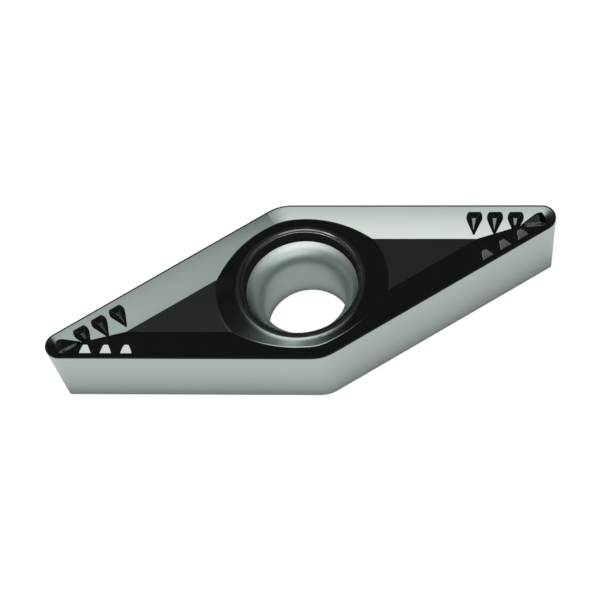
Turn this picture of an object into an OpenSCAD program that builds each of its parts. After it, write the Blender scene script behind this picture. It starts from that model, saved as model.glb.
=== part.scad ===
// Turning insert: a thin rhombic carbide tip with two cutting noses,
// a sunk rake face with raised chip breaker bumps, and a central screw hole.
// The seat face lies on z = 0 and the long diagonal runs along X.

/* [Body] */
// Diameter of the circle that touches all four cutting edges
inscribed_d = 9.525; // [9:0.025:12]
// Thickness from the seat face up to the cutting edges
thickness = 4.76; // [3.6:0.02:5.6]
// Angle between the two cutting edges of a nose
nose_angle = 35; // [33:1:50]
// Clearance angle of the flanks under the cutting edges
clearance_angle = 7; // [3:0.5:8]
// Radius of the two noses at the cutting edge
nose_r = 0.8; // [0.7:0.05:1.2]
// Radius of the two blunt corners at the cutting edge
blunt_r = 2.2; // [2:0.05:2.8]

/* [Rake face] */
// Width of the flat land behind the cutting edge
land_w = 0.08; // [0.04:0.01:0.14]
// Angle at which the rake bands fall away behind the land
rake_angle = 11.7; // [10:0.1:14]
// Depth of the flat floor under the cutting edges
floor_depth = 0.37; // [0.3:0.01:0.45]

/* [Boss] */
// Height of the ring on the boss above the cutting edges
boss_rise = 0; // [-0.04:0.01:0.1]
// Radius at which the side of the boss would meet the ring if both were sharp
boss_top_r = 3.53; // [3.46:0.01:3.7]
// Slope of the side of the boss
boss_slope = 19.5; // [16:0.5:24]
// Radius of the rounding between the side of the boss and the ring
boss_round = 0.6; // [0.2:0.05:0.8]

/* [Screw hole] */
// Diameter of the straight bore
bore_d = 4.4; // [3.8:0.05:4.8]
// Radius at which the steep wall of the recess would meet its ledge if both were sharp
recess_top_r = 3.1; // [3.06:0.01:3.14]
// Width of the narrow ledge round the top of the steep wall
ledge_w = 0.07; // [0.06:0.01:0.09]
// Width of the sloping step between the ledge and the ring
step_w = 0.1; // [0.06:0.01:0.12]
// Depth of the ledge under the ring
step_depth = 0.05; // [0.03:0.01:0.1]
// Radius of the recess at the foot of its steep wall
seat_r = 2.985; // [2.9:0.005:3.02]
// Depth of the foot of the recess wall under the ring
seat_depth = 0.77; // [0.5:0.01:1.1]
// Radius of the rounded mouth that carries the head of the screw
mouth_round = 1.36; // [1.1:0.02:1.6]
// Radius of the rounding at the two lips of the recess
lip_round = 0.04; // [0.02:0.01:0.06]
// Size of the chamfer where the bore leaves the seat face
bore_chamfer = 0.3; // [0.1:0.02:0.5]

/* [Chip breaker bumps] */
// Number of bumps on each rake band beside a nose
bump_count = 3; // [1:1:4]
// Distance along the edge from its sharp corner to the first bump
bump_start = 3.9; // [3.6:0.05:4.5]
// Distance between neighbouring bumps
bump_pitch = 1.1; // [0.95:0.05:1.4]
// Distance of a bump's straight front from the cutting edge
bump_front = 0.38; // [0.3:0.01:0.5]
// Length of a bump from its front to its tip
bump_length = 1.27; // [1.1:0.01:1.4]
// Largest width of a bump
bump_w = 0.86; // [0.75:0.01:0.92]
// Distance from a bump's front back to where it is widest
bump_belly = 0.3; // [0.26:0.01:0.34]
// Radius of the tip of a bump
bump_tip_r = 0.05; // [0.03:0.01:0.08]
// Length of the ramp from a bump's front to its crest
bump_ramp = 0.45; // [0.35:0.01:0.55]
// Height of a bump's crest above the cutting edges
bump_rise = 0.04; // [0:0.01:0.08]
// Width of a bump's crest at the top of the ramp
crest_w = 0.22; // [0.16:0.01:0.3]
// Length of a bump's crest
crest_length = 0.7; // [0.5:0.01:0.75]
// Angle at which a bump's crest falls towards its tip
crest_fall = 6; // [0:0.5:9]
// Distance from the nose to the front of the bump on the bisector
nose_bump_front = 0.58; // [0.5:0.01:0.7]
// Width of the bump on the bisector at the bottom of its valley
nose_bump_w = 0.96; // [0.8:0.01:1.1]
// Length of the bump on the bisector
nose_bump_length = 1.34; // [1.1:0.01:1.5]
// Width of the flat top of the bump on the bisector
nose_crest_w = 0.56; // [0.3:0.01:0.7]
// Length of the ramp at the front of the bump on the bisector
nose_ramp = 0.3; // [0.2:0.01:0.4]

/* [Hidden] */
$fn = 96;

// Distance that a cutter runs past the face it cuts
past = 0.02;
// How far a corner's cone stands out of the flat faces, so that it crosses them and doesn't only touch
hair = 0.001;
// The same for the rounding of a lip
lip_hair = 0.0003;
// Share by which a corner's cone leans less than the flat faces, so that it crosses them in an ellipse
slack = 0.002;
// Edge of the blocks that stand for a half space
block = 8 * inscribed_d;
// Steps on each side of a bump's outline and round its tip
side_steps = 5;
tip_steps = 3;
// Levels of a bump between its root under the rake band and its crest
bump_levels = 5;
// How far a bump's root lies under its foot, as a share of the height of its crest
root_share = 0.3;
// How far a row of bumps runs past the bisector, where it meets the row of the other edge
row_past = 0.001;
// Radius of a crest's tip
crest_tip_r = 0.012;

half_w = inscribed_d / 2;
half_nose = nose_angle / 2;
bore_r = bore_d / 2;
flank_taper = tan(clearance_angle);
rake_taper = 1 / tan(rake_angle);

// Distances along the long diagonal
sharp_x = half_w / sin(half_nose);
nose_tip_x = (half_w - nose_r) / sin(half_nose) + nose_r;

function polar(r, a) = [r * cos(a), r * sin(a)];

// Depth of the rake band at a distance from the cutting edge
function band_depth(from_edge) = (from_edge - land_w) * tan(rake_angle);

// The four corners, each as [distance of its centre from the axis, direction, radius, half of its arc]
function corners(half, r_nose, r_blunt) = [
    for (turn = [0, 180]) each [
        [(half - r_nose) / sin(half_nose), turn, r_nose, 90 - half_nose],
        [(half - r_blunt) / cos(half_nose), turn + 90, r_blunt, half_nose]
    ]
];

module at_corner(corner) {
    rotate([0, 0, corner[1]])
        translate([corner[0], 0, 0])
            children();
}

// All that lies inside a face that stands at a distance from the axis at z = 0,
// looks in the given direction and leans in by the taper as it goes down
module inner_side(direction, distance, taper) {
    rotate([0, 0, direction])
        translate([distance, 0, 0])
            rotate([0, atan(taper), 0])
                translate([-block / 2, 0, 0])
                    cube(block, center = true);
}

// The four side faces, with each corner cut off where its rounding starts
module cut_rhombus(half, places, depth, taper) {
    intersection() {
        translate([-block / 2, -block / 2, -depth])
            cube([block, block, depth]);
        inner_side(90 - half_nose, half, taper);
        inner_side(90 + half_nose, half, taper);
        inner_side(270 - half_nose, half, taper);
        inner_side(270 + half_nose, half, taper);
        corner_cut(places[0], taper);
        corner_cut(places[1], taper);
        corner_cut(places[2], taper);
        corner_cut(places[3], taper);
    }
}

module corner_cut(corner, taper) {
    share = cos(corner[3]);
    inner_side(corner[1], corner[0] + corner[2] * share, taper * share);
}

// The cone that rounds a corner, down to its point where that comes first
module corner_cone(corner, depth, taper) {
    top_r = corner[2] + hair;
    lean = taper * (1 - slack);
    drop = min(depth, top_r / lean);
    at_corner(corner)
        translate([0, 0, -drop])
            cylinder(h = drop, r1 = drop < depth ? 0 : top_r - drop * lean, r2 = top_r);
}

// Solid under an outline of four edges and four rounded corners at z = 0,
// which moves in all round by the taper as it goes down
module rounded_rhombus(half, r_nose, r_blunt, depth, taper) {
    places = corners(half, r_nose, r_blunt);
    cut_rhombus(half, places, depth, taper);
    for (corner = places)
        corner_cone(corner, depth, taper);
}

// What is sunk inside the land: four rake bands and the floor between them
module rake_pocket() {
    grow = past * rake_taper - land_w;
    translate([0, 0, past])
        rounded_rhombus(half_w + grow, nose_r + grow, blunt_r + grow, floor_depth + past, rake_taper);
}

// The raised centre with its sloping side and the ring on top
module boss() {
    ring_r = boss_top_r - boss_round * tan(boss_slope / 2);
    foot = floor_depth + boss_rise + past;
    translate([0, 0, boss_rise])
        rotate_extrude() {
            polygon([
                [0, -foot],
                [boss_top_r + foot / tan(boss_slope), -foot],
                [ring_r + boss_round * sin(boss_slope), boss_round * (cos(boss_slope) - 1)],
                [ring_r, 0],
                [0, 0]
            ]);
            translate([ring_r, -boss_round])
                circle(boss_round);
        }
}

// Bore with its chamfer at the seat face, measured down from the ring
module bore_outline() {
    bottom = -thickness - boss_rise;
    polygon([
        [0, bottom - past],
        [bore_r + bore_chamfer + past, bottom - past],
        [bore_r, bottom + bore_chamfer],
        [bore_r, past],
        [0, past]
    ]);
}

// Rounded mouth that leads from the foot of the recess wall into the bore
module mouth_outline() {
    drop = sqrt(pow(mouth_round, 2) - pow(bore_r + mouth_round - seat_r, 2));
    difference() {
        translate([0, -seat_depth - drop])
            square([seat_r, drop]);
        translate([bore_r + mouth_round, -seat_depth - drop])
            circle(mouth_round);
    }
}

// A lip is the rounded edge between a level face and a face that falls at a slope towards the axis
function lip_centre(edge, slope) = edge + [lip_round * tan(slope / 2), -lip_round];
function lip_foot(edge, slope) = lip_centre(edge, slope) + polar(lip_round, 90 + slope);
function lip_top(edge, slope) = lip_centre(edge, slope) + [0, lip_round];

// Recess with a steep wall, a ledge and a sloping step, measured down from the ring
module recess_outline() {
    wall_edge = [recess_top_r, -step_depth];
    wall_slope = atan2(seat_depth - step_depth, recess_top_r - seat_r);
    step_edge = [recess_top_r + ledge_w + step_w, 0];
    step_slope = atan2(step_depth, step_w);
    difference() {
        polygon([
            [0, -seat_depth],
            [seat_r, -seat_depth],
            lip_foot(wall_edge, wall_slope),
            lip_top(wall_edge, wall_slope),
            [recess_top_r + ledge_w, -step_depth],
            lip_foot(step_edge, step_slope),
            lip_top(step_edge, step_slope),
            lip_top(step_edge, step_slope) + [0, past],
            [0, past]
        ]);
        translate(lip_centre(wall_edge, wall_slope))
            circle(lip_round + lip_hair);
        translate(lip_centre(step_edge, step_slope))
            circle(lip_round + lip_hair);
    }
}

module screw_hole() {
    translate([0, 0, boss_rise])
        rotate_extrude() {
            bore_outline();
            mouth_outline();
            recess_outline();
        }
}

function blend(from, to, share) = from + (to - from) * share;

function arc_points(centre, r, from, to, steps) = [
    for (i = [0 : steps]) centre + polar(r, blend(from, to, i / steps))
];

// Outline of a drop on the Y axis: its round end is cut straight at y = front, its tip ends at y = end
function drop_outline(middle, r, front, end, r_tip) =
    let (
        cut = asin((front - middle) / r),
        side = asin((r - r_tip) / (end - r_tip - middle))
    )
    concat(
        arc_points([0, middle], r, cut, side, side_steps),
        arc_points([0, end - r_tip], r_tip, side, 180 - side, tip_steps),
        arc_points([0, middle], r, 180 - side, 180 - cut, side_steps)
    );

// Outline of a bump at a level, which is 0 at the foot and 1 at the crest:
// the ramp sets its front, and it falls evenly towards the tip.
// The crest is given as [width, length, length of the ramp in front of it].
function bump_ring(front, length, width, crest, front_depth, tip_depth, level) =
    let (
        ring_front = front + crest[2] * level,
        ring_z = blend(-front_depth, bump_rise, level),
        fall = blend((tip_depth - front_depth) / length, tan(crest_fall), level),
        middle = front + blend(bump_belly, crest[2], level),
        end = front + blend(length, crest[2] + crest[1], level)
    )
    [
        for (p = drop_outline(middle, blend(width, crest[0], level) / 2, ring_front, end,
                blend(bump_tip_r, crest_tip_r, level)))
            [p[0], p[1], ring_z - fall * (p[1] - ring_front)]
    ];

// Raised bump: a flat ramp rises from its straight front to the crest, and all its sides slope.
// The edge runs along X, the bump points along Y, and its foot falls from one depth to the other.
module bump(front, length, width, crest, front_depth, tip_depth) {
    rings = [
        for (k = [0 : bump_levels])
            bump_ring(front, length, width, crest, front_depth, tip_depth,
                blend(-root_share, 1, k / bump_levels))
    ];
    n = len(rings[0]);
    last = len(rings) - 1;
    middle = [0, front + length / 2, -2 * tip_depth];
    polyhedron(
        concat([for (ring = rings) each ring], [middle]),
        concat(
            [
                for (k = [0 : last - 1], i = [0 : n - 1], next = (i + 1) % n)
                    [k * n + i, (k + 1) * n + i, (k + 1) * n + next, k * n + next]
            ],
            [for (i = [0 : n - 1]) [i, (i + 1) % n, (last + 1) * n]],
            [[for (i = [n - 1 : -1 : 0]) last * n + i]]
        )
    );
}

// A bump of the row along the edge on +Y of the nose on +X
module edge_bump(reach) {
    translate([sharp_x, 0, 0])
        rotate([0, 0, 180 - half_nose])
            translate([reach, 0, 0])
                bump(bump_front, bump_length, bump_w, [crest_w, crest_length, bump_ramp],
                    band_depth(bump_front), band_depth(bump_front + bump_length));
}

// The row along the edge on +Y: a bump that reaches the bisector is cut off there
module bump_row() {
    for (i = [0 : bump_count - 1]) {
        reach = bump_start + i * bump_pitch;
        if (reach * tan(half_nose) > bump_front + bump_length + past)
            edge_bump(reach);
        else
            intersection() {
                edge_bump(reach);
                translate([0, -row_past, -thickness])
                    cube([sharp_x, block, block]);
            }
    }
}

// The bumps of the nose on +X: a row on each rake band and one on the bisector
module nose_bumps() {
    bump_row();
    mirror([0, 1, 0])
        bump_row();
    tip_x = nose_tip_x - nose_bump_front - nose_bump_length;
    translate([nose_tip_x, 0, 0])
        rotate([0, 0, 90])
            bump(nose_bump_front, nose_bump_length, nose_bump_w,
                [nose_crest_w, nose_bump_length - nose_ramp - 2 * bump_tip_r, nose_ramp],
                band_depth(nose_bump_front), band_depth((sharp_x - tip_x) * sin(half_nose)));
}

module insert() {
    color([0.66, 0.69, 0.67])
        translate([0, 0, thickness])
            difference() {
                union() {
                    difference() {
                        rounded_rhombus(half_w, nose_r, blunt_r, thickness, flank_taper);
                        rake_pocket();
                    }
                    boss();
                    for (turn = [0, 180])
                        rotate([0, 0, turn])
                            nose_bumps();
                }
                screw_hole();
            }
}

insert();
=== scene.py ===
"""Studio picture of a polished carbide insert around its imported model."""

import math

import bpy
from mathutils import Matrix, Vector

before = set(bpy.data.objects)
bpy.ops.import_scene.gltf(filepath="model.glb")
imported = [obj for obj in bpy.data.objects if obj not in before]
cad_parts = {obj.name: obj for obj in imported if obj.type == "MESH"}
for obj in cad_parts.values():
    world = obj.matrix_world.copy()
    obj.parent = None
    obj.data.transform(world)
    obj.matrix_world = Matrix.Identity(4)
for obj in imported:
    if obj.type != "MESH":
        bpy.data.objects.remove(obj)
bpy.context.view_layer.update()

MM = 0.001
WHITE = (1.0, 1.0, 1.0, 1.0)

# The view of the photograph, whose frame is 600 by 600 pixels
IMAGE_SIZE = 600
IMAGE_CENTRE = (300.0, 300.0)
HOLE_PIXEL = (300.78, 281.70)
PIXELS_PER_MM = 18.90
VIEW_DISTANCE = 272.0 * MM
VIEW_TURN = math.radians(-3.20)
VIEW_HEIGHT = math.radians(58.20)
VIEW_ROLL = math.radians(-12.12)
SENSOR_WIDTH = 36.0
CLIP = (0.01, 20.0)

# Sizes of the insert that the camera and the materials follow, in millimetres. Radii and lengths are from
# the hole's axis, and heights from the seat face
EDGE_HEIGHT = 4.76
FOOT_INSET = 0.584
HALF_WIDTH = 4.7625
HALF_NOSE = math.radians(17.5)
NOSE_R = 0.8
BLUNT_R = 2.2
NOSE_CORNER = (HALF_WIDTH - NOSE_R) / math.sin(HALF_NOSE)
BLUNT_CORNER = (HALF_WIDTH - BLUNT_R) / math.cos(HALF_NOSE)
LAND_WIDTH = 0.08
RAKE_WIDTH = 1.867
RAKE_ANGLE = math.radians(11.7)
BOSS_R = 3.53
BOSS_SLOPE = math.radians(19.5)
BUMPS_FROM = 8.0
NOSE_BUMP_FROM = 12.3
BORE_R = 2.3
HOLE_R = 2.989
HOLE_TOP = 3.992
RECESS_R = 3.13
WALL_TOP = 4.703

# Heights of a surface's true normal: flanks and seat are under the first, the seat is under the second, the
# hole's steep sides are under the third, and the rake bands and the slopes of the boss reach up to the last
GROUND_TILT = -0.05
SEAT_TILT = -0.5
TOP_TILT = 0.3
LEVEL_TILT = 0.985

# Small shapes in the shading, in millimetres. The polish takes a slope off the rake at the edge, which fades
ROLL_START = 0.065
ROLL_FADE = 0.0205
CORNER_SIZE = 0.03
BOSS_ROUND = (3.427, 3.627)
BOSS_TIGHT = (3.42, 3.58)
STEP_FLAT = (3.165, 3.215)
STEP_SLOPE = 0.5
LINES_HEIGHT = 0.0006
GRAIN_HEIGHT = 0.0015
SOFT_EDGE = 0.02
SOFT_FROM = (0.02, 0.12)

# The sides of the bumps, where painted shade lies: how high over the rake and how far from level they start
SIDE_RISE = (-0.004, 0.0)
SIDE_LEAN = (0.972, 0.955)

# Colours and roughness of the metal
CARBIDE_DARK = (0.555, 0.638, 0.592, 1.0)
CARBIDE_LIGHT = (0.585, 0.662, 0.618, 1.0)
HOLE_COLOUR = (0.555, 0.665, 0.622, 1.0)
# Painted shade for the recess wall: near black, and matt where it is laid on
WALL_SHADE_COLOUR = (0.012, 0.013, 0.0125, 1.0)
# Painted shade for the sides of the bumps: near black, and a dark grey on the bumps of the noses
SIDE_SHADE_COLOUR = (0.006, 0.0065, 0.006, 1.0)
NOSE_SIDE_SHADE_COLOUR = (0.12, 0.135, 0.125, 1.0)
POLISHED = 0.055
GROUND = (0.24, 0.28)
SATIN = 0.42
WALL_ROUGH = 0.35
SPECULAR = 0.5

# Places in the studio are those of a direction on a ball seen from above: 0, 0 is straight up, X is to the
# right, Y away from the camera. The overhead softbox stands at its own place, and its colour goes by the
# distance from there
OVERHEAD = (-0.10, 0.13)
OVERHEAD_REACH = 0.6
OVERHEAD_GLOW = (
    (0.00, (1.28, 1.19, 1.20)),
    (0.09, (1.08, 1.03, 1.04)),
    (0.167, (0.79, 0.78, 0.78)),
    (0.245, (0.42, 0.44, 0.433)),
    (0.285, (0.205, 0.22, 0.216)),
    (0.34, (0.074, 0.08, 0.078)),
    (0.40, (0.029, 0.030, 0.027)),
    (0.44, (0.013, 0.013, 0.013)),
    (0.52, (0.004, 0.004, 0.004)),
    (0.60, (0.0, 0.0, 0.0)),
)
OUT_OF_REACH = 2.0
STUDIO = (0.0105, 0.0115, 0.0110)

# Past an edge on its right, which slants between two places in Y, the softbox is a dim shelf
SHELF_EDGE = (0.146, 0.168)
SHELF_SLANT = 0.5
SHELF_TURN = (0.18, 0.30)
SHELF_REACH = (0.44, 0.28)
SHELF_GLOW = 0.185

# A dark bar lies across the far right part of both
BAR_X = (0.022, 0.042)
BAR_START = (0.30, 0.33)
BAR_END = (0.43, 0.39)
BAR_SHARE = 0.1

# A dim panel on the camera's side of the softbox, and a small soft spot for the near side of the boss
PANEL_X = (0.22, 0.06)
PANEL_Y = (-0.16, -0.26)
PANEL_OUT = (0.62, 0.50)
PANEL_GLOW = 0.43
SPOT = (-0.225, -0.125)
SPOT_REACH = (0.15, 0.02)
SPOT_GLOW = 0.19

# Wide lights round the studio, high, at middle height and low: their glow by the turn in degrees from the
# camera's side, minus to the left, and how far out each of them starts and is full
ROUND_TURNS = (-180, -150, -120, -90, -60, -30, 0, 30, 60, 90, 120, 150, 180)
ROUND_HIGH = (0, 0, 0, 0, 3.7, 3.4, 3.6, 3.5, 0.1, 0, 0, 0, 0)
ROUND_MIDDLE = (0, 0, 0, 0.62, 0.26, 0.16, 0, 0, 1.48, 0, 0, 0, 0)
ROUND_LOW = (0, 0, 0.24, 0.12, 0, 1.33, 1.8, 1.47, 0, 0.48, 0, 0, 0)
HIGH_TINT = (1.14, 1.0, 1.03)
HIGH_FROM = (0.45, 0.60)
MIDDLE_FROM = (0.60, 0.78)
LOW_FROM = (0.78, 0.95)
HORIZON = (0.0, 0.05)

# Light on matt surfaces from the camera's side and from the far side
SKY_SIDES = (-0.6, 0.6)
SKY_GLOW = (1.2, 1.4)

# The floor that the metal sees glows by itself, with painted shade: dark at the foot of the insert, pale a
# few millimetres away, a little less so to the right, and, with painted light, pale in the middle of the hole
FLOOR_HALF = 1.5
FLOOR_DROP = 0.02
FLOOR_FOOT_SHADOW = 0.26
FLOOR_AWAY = 0.76
FLOOR_FADE = 0.85
FLOOR_SIDES = (-2.0, 3.0)
FLOOR_RIGHT = 0.93
UNDER_RADIUS = (1.5, 2.15)
UNDER_HOLE_LIGHT = (0.53, 0.03)
# The floor that the camera sees: its own glow beside the hole, a stronger glow in it that paints light over
# the shade there, and the part that takes a shadow
SEEN_GLOW = (0.92, 0.98)
SEEN_MATT = (0.10, 0.10, 0.10, 1.0)


def add_camera():
    """The axis of the hole at the height of the cutting edges falls on its pixel of the photograph."""
    back = Vector((
        math.sin(VIEW_TURN) * math.cos(VIEW_HEIGHT),
        -math.cos(VIEW_TURN) * math.cos(VIEW_HEIGHT),
        math.sin(VIEW_HEIGHT),
    ))
    level = Vector((math.cos(VIEW_TURN), math.sin(VIEW_TURN), 0.0))
    rise = back.cross(level)
    right = math.cos(VIEW_ROLL) * level + math.sin(VIEW_ROLL) * rise
    up = math.cos(VIEW_ROLL) * rise - math.sin(VIEW_ROLL) * level
    across = (IMAGE_CENTRE[0] - HOLE_PIXEL[0]) / PIXELS_PER_MM * MM
    below = (IMAGE_CENTRE[1] - HOLE_PIXEL[1]) / PIXELS_PER_MM * MM
    aim = Vector((0.0, 0.0, EDGE_HEIGHT * MM)) + right * across - up * below

    data = bpy.data.cameras.new("camera")
    data.sensor_fit = "HORIZONTAL"
    data.sensor_width = SENSOR_WIDTH
    data.lens = SENSOR_WIDTH * PIXELS_PER_MM / MM * VIEW_DISTANCE / IMAGE_SIZE
    data.clip_start, data.clip_end = CLIP
    camera = bpy.data.objects.new("camera", data)
    bpy.context.scene.collection.objects.link(camera)
    matrix = camera.matrix_world.to_3x3()
    matrix.col[0], matrix.col[1], matrix.col[2] = right, up, back
    camera.matrix_world = matrix.to_4x4()
    camera.location = aim + back * VIEW_DISTANCE
    bpy.context.scene.camera = camera


class Nodes:
    """Short forms for building a node tree."""

    def __init__(self, tree):
        self.tree = tree
        tree.nodes.clear()

    def new(self, kind, inputs=None, **settings):
        node = self.tree.nodes.new(kind)
        for name, value in settings.items():
            setattr(node, name, value)
        for name, value in (inputs or {}).items():
            self.put(node.inputs[name], value)
        return node

    def put(self, socket, value):
        if isinstance(value, bpy.types.NodeSocket):
            self.tree.links.new(value, socket)
        else:
            socket.default_value = value

    def math(self, operation, *values):
        node = self.new("ShaderNodeMath", operation=operation)
        for socket, value in zip(node.inputs, values):
            self.put(socket, value)
        return node.outputs[0]

    def product(self, first, *others):
        for other in others:
            first = self.math("MULTIPLY", first, other)
        return first

    def total(self, first, *others):
        for other in others:
            first = self.math("ADD", first, other)
        return first

    def vector(self, operation, *values, scale=None):
        node = self.new("ShaderNodeVectorMath", operation=operation)
        for socket, value in zip(node.inputs, values):
            self.put(socket, value)
        if scale is not None:
            self.put(node.inputs["Scale"], scale)
        return node.outputs["Value" if operation in ("LENGTH", "DISTANCE") else "Vector"]

    def parts(self, vector):
        return self.new("ShaderNodeSeparateXYZ", {"Vector": vector}).outputs

    def level(self, x, y):
        return self.new("ShaderNodeCombineXYZ", {"X": x, "Y": y}).outputs[0]

    def noise(self, place, scale, detail):
        return self.new("ShaderNodeTexNoise", {"Vector": place, "Scale": scale, "Detail": detail}).outputs[0]

    def step(self, value, low, high):
        """0 at low, 1 at high and smooth between them, where low may be the larger number."""
        node = self.new("ShaderNodeMapRange", {"Value": value, "From Min": low, "From Max": high},
                        interpolation_type="SMOOTHSTEP")
        return node.outputs["Result"]

    def grey(self, value):
        return self.new("ShaderNodeCombineColor", {"Red": value, "Green": value, "Blue": value}).outputs[0]

    def ramp(self, value, stops):
        """Colours at distances from 0 to the last stop, straight between them."""
        node = self.new("ShaderNodeValToRGB", {"Fac": value})
        elements = node.color_ramp.elements
        while len(elements) < len(stops):
            elements.new(1.0)
        for element, (position, colour) in zip(elements, stops):
            element.position = position / stops[-1][0]
            element.color = (*colour, 1.0)
        return node.outputs["Color"]

    def mix(self, share, first, second, data_type="FLOAT"):
        node = self.new("ShaderNodeMix", data_type=data_type)
        sockets = [s for s in node.inputs if s.enabled]
        for socket, value in zip(sockets, (share, first, second)):
            self.put(socket, value)
        return [s for s in node.outputs if s.enabled][0]

    def blend(self, share, first, second):
        return self.mix(share, first, second, data_type="RGBA")


def overhead_light(n, x, y, z, level):
    """A round softbox, brightest in its middle, with a dim shelf on its right and a dark bar."""
    away = n.vector("DISTANCE", level, (*OVERHEAD, 0.0))
    away = n.total(away, n.product(n.math("LESS_THAN", z, 0.0), OUT_OF_REACH))
    box = n.ramp(n.math("DIVIDE", away, OVERHEAD_REACH), OVERHEAD_GLOW)
    shelf = n.grey(n.product(n.step(away, *SHELF_REACH), SHELF_GLOW))
    slant = n.math("SUBTRACT", n.math("MINIMUM", y, SHELF_TURN[1]), SHELF_TURN[0])
    edge = n.step(n.total(x, n.product(slant, SHELF_SLANT)), *SHELF_EDGE)
    bar = n.product(n.step(x, *BAR_X), n.step(y, *BAR_START), n.step(y, *BAR_END))
    light = n.vector("SCALE", n.blend(edge, box, shelf), scale=n.mix(bar, 1.0, BAR_SHARE))
    return n.vector("ADD", light, STUDIO)


def round_light(n, x, y, z, level):
    """Three rings of wide lights, one over the other, with the dim panel and the spot."""
    out = n.vector("LENGTH", level)
    panel = n.product(n.step(y, *PANEL_Y), n.step(x, *PANEL_X), n.step(out, *PANEL_OUT), PANEL_GLOW)
    spot = n.vector("DISTANCE", level, (*SPOT, 0.0))
    spot = n.product(n.step(spot, *SPOT_REACH), SPOT_GLOW)
    turn = n.math("ARCTAN2", x, n.product(y, -1.0))
    turn = n.total(n.math("DIVIDE", turn, 2.0 * math.pi), 0.5)
    high, middle, low = (
        n.ramp(turn, [(angle + 180, (glow, glow, glow)) for angle, glow in zip(ROUND_TURNS, table)])
        for table in (ROUND_HIGH, ROUND_MIDDLE, ROUND_LOW))
    light = n.vector("SCALE", n.vector("MULTIPLY", high, HIGH_TINT), scale=n.step(out, *HIGH_FROM))
    light = n.blend(n.step(out, *MIDDLE_FROM), light, middle)
    light = n.blend(n.step(out, *LOW_FROM), light, low)
    light = n.vector("ADD", light, n.grey(n.total(panel, spot)))
    return n.vector("SCALE", light, scale=n.step(z, *HORIZON))


def add_world():
    """White for the camera, even light for matt surfaces and a dark studio with soft lights for gloss."""
    world = bpy.data.worlds.new("studio")
    bpy.context.scene.world = world
    world.use_nodes = True
    world.cycles.sampling_method = "NONE"
    n = Nodes(world.node_tree)
    ray = n.new("ShaderNodeLightPath").outputs
    part = n.parts(n.new("ShaderNodeTexCoord").outputs["Generated"])
    x, y, z = part["X"], part["Y"], part["Z"]
    level = n.level(x, y)
    lights = n.vector("ADD", overhead_light(n, x, y, z, level), round_light(n, x, y, z, level))
    gloss = n.new("ShaderNodeBackground", {"Color": lights, "Strength": 1.0})
    sky = n.mix(n.step(y, *SKY_SIDES), *SKY_GLOW)
    sky = n.mix(ray["Is Camera Ray"], sky, 1.0)
    even = n.new("ShaderNodeBackground", {"Color": WHITE, "Strength": sky})
    both = n.new("ShaderNodeMixShader", {0: ray["Is Glossy Ray"], 1: even.outputs[0], 2: gloss.outputs[0]})
    n.new("ShaderNodeOutputWorld", {"Surface": both.outputs[0]})


def add_floor():
    """Pale floor: white to the camera apart from the soft shadow of the insert, with painted light in the
    hole, and to gloss a glowing pale grey with a painted shadow at the foot of the insert and painted light
    under the hole.
    """
    mesh = bpy.data.meshes.new("floor")
    corners = [(-FLOOR_HALF, -FLOOR_HALF, 0), (FLOOR_HALF, -FLOOR_HALF, 0),
               (FLOOR_HALF, FLOOR_HALF, 0), (-FLOOR_HALF, FLOOR_HALF, 0)]
    mesh.from_pydata(corners, [], [(0, 1, 2, 3)])
    floor = bpy.data.objects.new("floor", mesh)
    floor.location.z = -FLOOR_DROP * MM
    bpy.context.scene.collection.objects.link(floor)
    material = bpy.data.materials.new("floor")
    material.use_nodes = True
    n = Nodes(material.node_tree)
    ray = n.new("ShaderNodeLightPath").outputs
    place = n.vector("SCALE", n.new("ShaderNodeNewGeometry").outputs["Position"], scale=1.0 / MM)
    part = n.parts(place)
    x, y = part["X"], part["Y"]
    radius = n.vector("LENGTH", n.level(x, y))
    # Painted shadow: the glow that the metal sees drops towards the foot of the insert; painted light under
    # the hole
    away = n.math("MAXIMUM", n.math("SUBTRACT", FOOT_INSET, edge_distance(n, x, y)), 0.0)
    shade = n.math("EXPONENT", n.math("DIVIDE", away, -FLOOR_FADE))
    beside = n.product(n.mix(shade, FLOOR_AWAY, FLOOR_FOOT_SHADOW), n.mix(n.step(x, *FLOOR_SIDES), 1.0, FLOOR_RIGHT))
    under = n.mix(n.step(radius, *UNDER_RADIUS), *UNDER_HOLE_LIGHT)
    below = n.math("LESS_THAN", radius, BORE_R)
    mirrored = n.new("ShaderNodeEmission", {"Color": WHITE, "Strength": n.mix(below, beside, under)})
    matt = n.new("ShaderNodeBsdfDiffuse", {"Color": SEEN_MATT})
    # Painted light: the floor glows brighter under the hole, where it lies in the insert's shade
    glow = n.new("ShaderNodeEmission", {"Color": WHITE, "Strength": n.mix(below, *SEEN_GLOW)})
    seen = n.new("ShaderNodeAddShader", {0: matt.outputs[0], 1: glow.outputs[0]})
    both = n.new("ShaderNodeMixShader", {0: ray["Is Camera Ray"], 1: mirrored.outputs[0], 2: seen.outputs[0]})
    n.new("ShaderNodeOutputMaterial", {"Surface": both.outputs[0]})
    mesh.materials.append(material)


def edge_distance(n, x, y):
    """Distance in millimetres from the outline of the cutting edges, for a place inside it."""
    x = n.math("ABSOLUTE", x)
    y = n.math("ABSOLUTE", y)
    across = n.total(n.product(x, math.sin(HALF_NOSE)), n.product(y, math.cos(HALF_NOSE)))
    distance = n.math("SUBTRACT", HALF_WIDTH, across)
    for along, aside, corner, radius, angle in (
            (x, y, NOSE_CORNER, NOSE_R, 0.5 * math.pi - HALF_NOSE),
            (y, x, BLUNT_CORNER, BLUNT_R, HALF_NOSE)):
        out = n.math("SUBTRACT", along, corner)
        size = n.math("SQRT", n.total(n.product(out, out), n.product(aside, aside)))
        inside = n.math("LESS_THAN", aside, n.product(out, math.tan(angle)))
        distance = n.mix(inside, distance, n.math("SUBTRACT", radius, size))
    return distance


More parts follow.
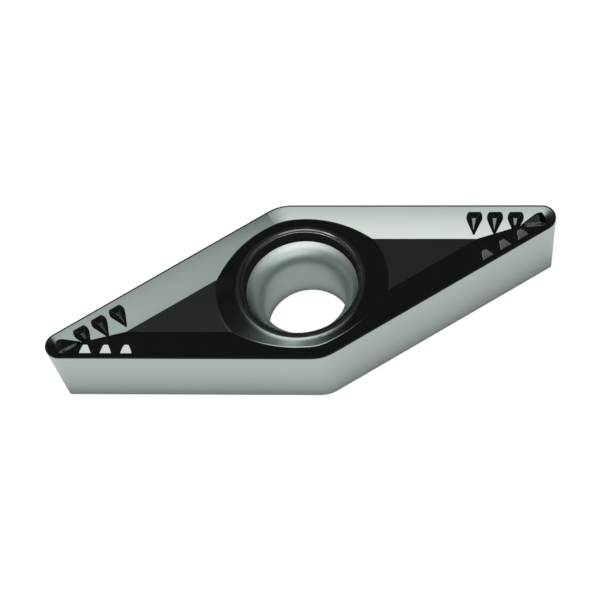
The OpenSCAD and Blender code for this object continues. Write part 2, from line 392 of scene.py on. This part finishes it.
def bend(n, radius, start, end):
    """Drop of a surface that turns from level at the start to the slope of the boss at the end."""
    part = n.math("MINIMUM", n.math("MAXIMUM", n.math("SUBTRACT", radius, start), 0.0), end - start)
    part = n.product(part, part, 0.5 / (end - start))
    rest = n.math("MAXIMUM", n.math("SUBTRACT", radius, end), 0.0)
    return n.product(n.total(part, rest), math.tan(BOSS_SLOPE))


def polish(n, radius, z, tilt, distance, rake):
    """Height of the small shapes that change the reflections of the polished top alone."""
    facing_up = n.math("GREATER_THAN", tilt, TOP_TILT)

    # The rake is rounded off a little towards the cutting edge
    roll = n.math("SUBTRACT", n.product(distance, ROLL_START), n.product(distance, distance, ROLL_FADE))
    roll = n.product(roll, facing_up, n.math("LESS_THAN", tilt, LEVEL_TILT))

    # A small radius is left in the corner at the foot of the boss
    cone = n.product(n.math("SUBTRACT", radius, BOSS_R), -math.tan(BOSS_SLOPE))
    near = n.math("SUBTRACT", CORNER_SIZE, n.math("ABSOLUTE", n.math("SUBTRACT", rake, cone)))
    near = n.math("MAXIMUM", near, 0.0)
    corner = n.product(near, near, 0.25 / CORNER_SIZE, facing_up)

    # The boss has a tighter rounding, and the step round the recess is flat but for a line at its outside
    ring = n.math("SUBTRACT", bend(n, radius, *BOSS_ROUND), bend(n, radius, *BOSS_TIGHT))
    ring = n.total(ring, math.tan(BOSS_SLOPE) * 0.5 * (sum(BOSS_ROUND) - sum(BOSS_TIGHT)))
    flat = n.math("MINIMUM", n.math("MAXIMUM", radius, STEP_FLAT[0]), STEP_FLAT[1])
    ring = n.math("SUBTRACT", ring, n.product(n.math("SUBTRACT", flat, STEP_FLAT[1]), STEP_SLOPE))
    ring = n.product(ring, n.math("GREATER_THAN", z, WALL_TOP), facing_up)
    return n.total(roll, corner, ring)


def carbide():
    """Polished rake, ground flanks and seat and a satin hole in one sintered body, with painted shade:
    a near-black matt recess wall and dark sides on the bumps.
    """
    material = bpy.data.materials.new("carbide")
    material.use_nodes = True
    n = Nodes(material.node_tree)
    place = n.vector("SCALE", n.new("ShaderNodeTexCoord").outputs["Object"], scale=1.0 / MM)
    part = n.parts(place)
    x, y, z = part["X"], part["Y"], part["Z"]
    radius = n.vector("LENGTH", n.level(x, y))
    tilt = n.parts(n.new("ShaderNodeNewGeometry").outputs["True Normal"])["Z"]
    distance = n.math("MINIMUM", edge_distance(n, x, y), RAKE_WIDTH)
    rake = n.product(n.math("SUBTRACT", distance, LAND_WIDTH), -math.tan(RAKE_ANGLE))

    # Where each finish lies, and the recess wall that carries painted shade
    ground = n.math("LESS_THAN", tilt, GROUND_TILT)
    hole = n.product(n.math("LESS_THAN", radius, HOLE_R), n.math("LESS_THAN", z, HOLE_TOP),
                     n.math("GREATER_THAN", tilt, SEAT_TILT))
    wall = n.product(n.math("LESS_THAN", radius, RECESS_R), n.math("GREATER_THAN", z, HOLE_TOP),
                     n.math("LESS_THAN", z, WALL_TOP))
    satin = n.math("MAXIMUM", ground, hole)

    # Grinding lines run along the edges, the sintered hole keeps a fine grain, and the colour drifts a little
    lines = n.new("ShaderNodeMapping", {"Vector": place, "Scale": (0.35, 0.35, 9.0)}).outputs[0]
    lines = n.product(n.noise(lines, 3.0, 4.0), ground, LINES_HEIGHT)
    grain = n.product(n.noise(place, 14.0, 3.0), hole, GRAIN_HEIGHT)
    cloud = n.noise(place, 0.6, 2.0)

    height = n.total(polish(n, radius, z, tilt, distance, rake), lines, grain)
    soft = n.product(n.step(distance, *SOFT_FROM), SOFT_EDGE * MM)
    soft = n.new("ShaderNodeBevel", {"Radius": soft}, samples=6).outputs[0]
    normal = n.new("ShaderNodeBump", {
        "Strength": 1.0, "Distance": MM, "Height": height, "Normal": soft}).outputs[0]

    # Painted shade: the sides of the bumps are painted dark and matt, those of the bumps on the noses dark
    # alone;
    # the recess wall is made matt here too
    rise = n.math("SUBTRACT", n.math("SUBTRACT", z, EDGE_HEIGHT), rake)
    side = n.product(n.step(rise, *SIDE_RISE), n.step(n.parts(soft)["Z"], *SIDE_LEAN),
                     n.math("GREATER_THAN", radius, BUMPS_FROM), n.math("SUBTRACT", 1.0, ground))
    nose = n.math("GREATER_THAN", radius, NOSE_BUMP_FROM)
    matt = n.math("MAXIMUM", wall, n.product(side, n.math("SUBTRACT", 1.0, nose)))

    colour = n.blend(cloud, CARBIDE_DARK, CARBIDE_LIGHT)
    colour = n.blend(hole, colour, HOLE_COLOUR)
    # Painted shade: the recess wall is near black
    colour = n.blend(wall, colour, WALL_SHADE_COLOUR)
    # Painted shade: the sides of the bumps are dark
    colour = n.blend(side, colour, n.blend(nose, SIDE_SHADE_COLOUR, NOSE_SIDE_SHADE_COLOUR))
    rough = n.mix(satin, POLISHED, n.mix(hole, n.mix(cloud, *GROUND), SATIN))
    rough = n.mix(wall, rough, WALL_ROUGH)
    shader = n.new("ShaderNodeBsdfPrincipled", {
        "Base Color": colour, "Metallic": n.math("SUBTRACT", 1.0, matt), "Roughness": rough,
        "Specular IOR Level": n.mix(matt, SPECULAR, 0.0), "Normal": normal})
    n.new("ShaderNodeOutputMaterial", {"Surface": shader.outputs[0]})
    return material


add_camera()
add_world()
add_floor()
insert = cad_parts["insert"]
insert.data.materials.clear()
insert.data.materials.append(carbide())

bpy.context.scene.view_settings.view_transform = "Standard"
